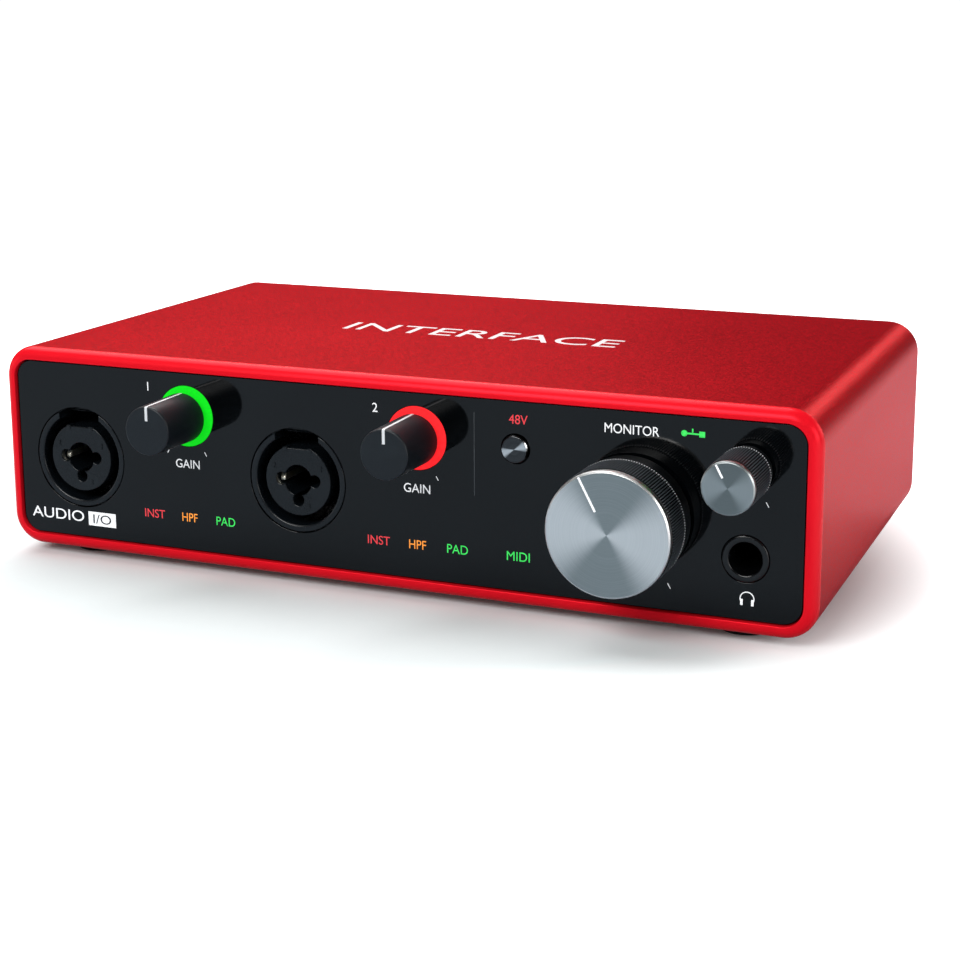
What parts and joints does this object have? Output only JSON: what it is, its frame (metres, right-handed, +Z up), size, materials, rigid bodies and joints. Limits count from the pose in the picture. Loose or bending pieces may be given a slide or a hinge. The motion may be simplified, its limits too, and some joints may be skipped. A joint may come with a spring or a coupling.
{
  "type": "desktop audio interface",
  "caption": "Low metal sleeve with a gloss front panel of combo inputs, lit gain knobs, a large level knob and a headphone socket, and a rear panel of sockets.",
  "frame": {"origin": "centre of the bounding box's underside, on the surface that the feet stand on", "axes": "+X to the right as seen from the front, -Y out of the front panel, +Z up"},
  "size_m": [0.185, 0.1174, 0.0475],
  "materials": {
    "red_anodised": "satin anodised, fine sparkling blasted grain, polished front rim",
    "gloss_black": "clear gloss over blue-black, with printed white lines and lit legends",
    "rear_black": "satin black powder coat",
    "socket_black": "fine moulded texture",
    "knob_black": "smooth satin moulding",
    "knurl_black": "fine straight knurl",
    "spun_aluminium": "spun finish in fine circles with a bright chamfer",
    "black_chrome": "dark spun metal",
    "plain_steel": "plated",
    "screw_steel": "black zinc plated",
    "contact_metal": "bright plated",
    "board_green": "solder mask over glass-fibre laminate",
    "halo_green": "frosted ring lit green",
    "halo_red": "frosted ring lit red",
    "clear_guide": "clear acrylic",
    "rubber": "matt"
  },
  "bodies": {
    "root": {"sleeve": "red_anodised", "front_panel": "gloss_black", "rear_panel": "rear_black", "rear_screw_1": "screw_steel", "rear_screw_2": "screw_steel", "rear_screw_3": "screw_steel", "rear_screw_4": "screw_steel", "foot_1": "rubber", "foot_2": "rubber", "foot_3": "rubber", "foot_4": "rubber", "main_board": "board_green", "front_board": "board_green", "board_link": "socket_black", "board_screw_1": "screw_steel", "board_screw_2": "screw_steel", "combo_housing_1": "socket_black", "combo_housing_2": "socket_black", "combo_core_1": "socket_black", "combo_core_2": "socket_black", "combo_contact_1": "contact_metal", "combo_contact_2": "contact_metal", "gain_pot_1": "plain_steel", "gain_pot_2": "plain_steel", "gain_halo_1": "halo_green", "gain_halo_2": "halo_red", "monitor_pot": "plain_steel", "phones_pot": "plain_steel", "phantom_switch": "socket_black", "headphone_jack": "socket_black", "line_input_jack_1": "socket_black", "line_input_jack_2": "socket_black", "line_output_jack_1": "socket_black", "line_output_jack_2": "socket_black", "line_output_jack_3": "socket_black", "line_output_jack_4": "socket_black", "midi_in_socket": "socket_black", "midi_out_socket": "socket_black", "usb_shell": "plain_steel", "usb_tongue": "socket_black", "lock_plate": "plain_steel", "legend_guide_1": "clear_guide", "legend_guide_2": "clear_guide", "phantom_guide": "clear_guide", "midi_guide": "clear_guide", "usb_guide": "clear_guide"},
    "gain_1": {"gain_knob_1": "knob_black", "gain_shaft_1": "plain_steel"},
    "gain_2": {"gain_knob_2": "knob_black", "gain_shaft_2": "plain_steel"},
    "monitor": {"monitor_knob": "knurl_black", "monitor_cap": "spun_aluminium", "monitor_shaft": "plain_steel"},
    "phones": {"phones_knob": "knurl_black", "phones_cap": "spun_aluminium", "phones_shaft": "plain_steel"},
    "phantom": {"phantom_button": "black_chrome", "phantom_plunger": "socket_black"}
  },
  "joints": [
    {"name": "gain_1_turn", "type": "hinge", "parent": "root", "child": "gain_1", "pos_m": [-0.04595, -0.05, 0.035], "axis": [0, 1, 0], "range_deg": [-150, 150]},
    {"name": "gain_2_turn", "type": "hinge", "parent": "root", "child": "gain_2", "pos_m": [0.00875, -0.05, 0.035], "axis": [0, 1, 0], "range_deg": [-150, 150]},
    {"name": "monitor_turn", "type": "hinge", "parent": "root", "child": "monitor", "pos_m": [0.0551, -0.05, 0.02365], "axis": [0, 1, 0], "range_deg": [-122, 178]},
    {"name": "phones_turn", "type": "hinge", "parent": "root", "child": "phones", "pos_m": [0.0783, -0.05, 0.0351], "axis": [0, 1, 0], "range_deg": [-122, 178]},
    {"name": "phantom_press", "type": "slide", "parent": "root", "child": "phantom", "axis": [0, 1, 0], "range_m": [0, 0.0007], "stiffness_N_per_m": 150, "springref_m": -0.004}
  ]
}
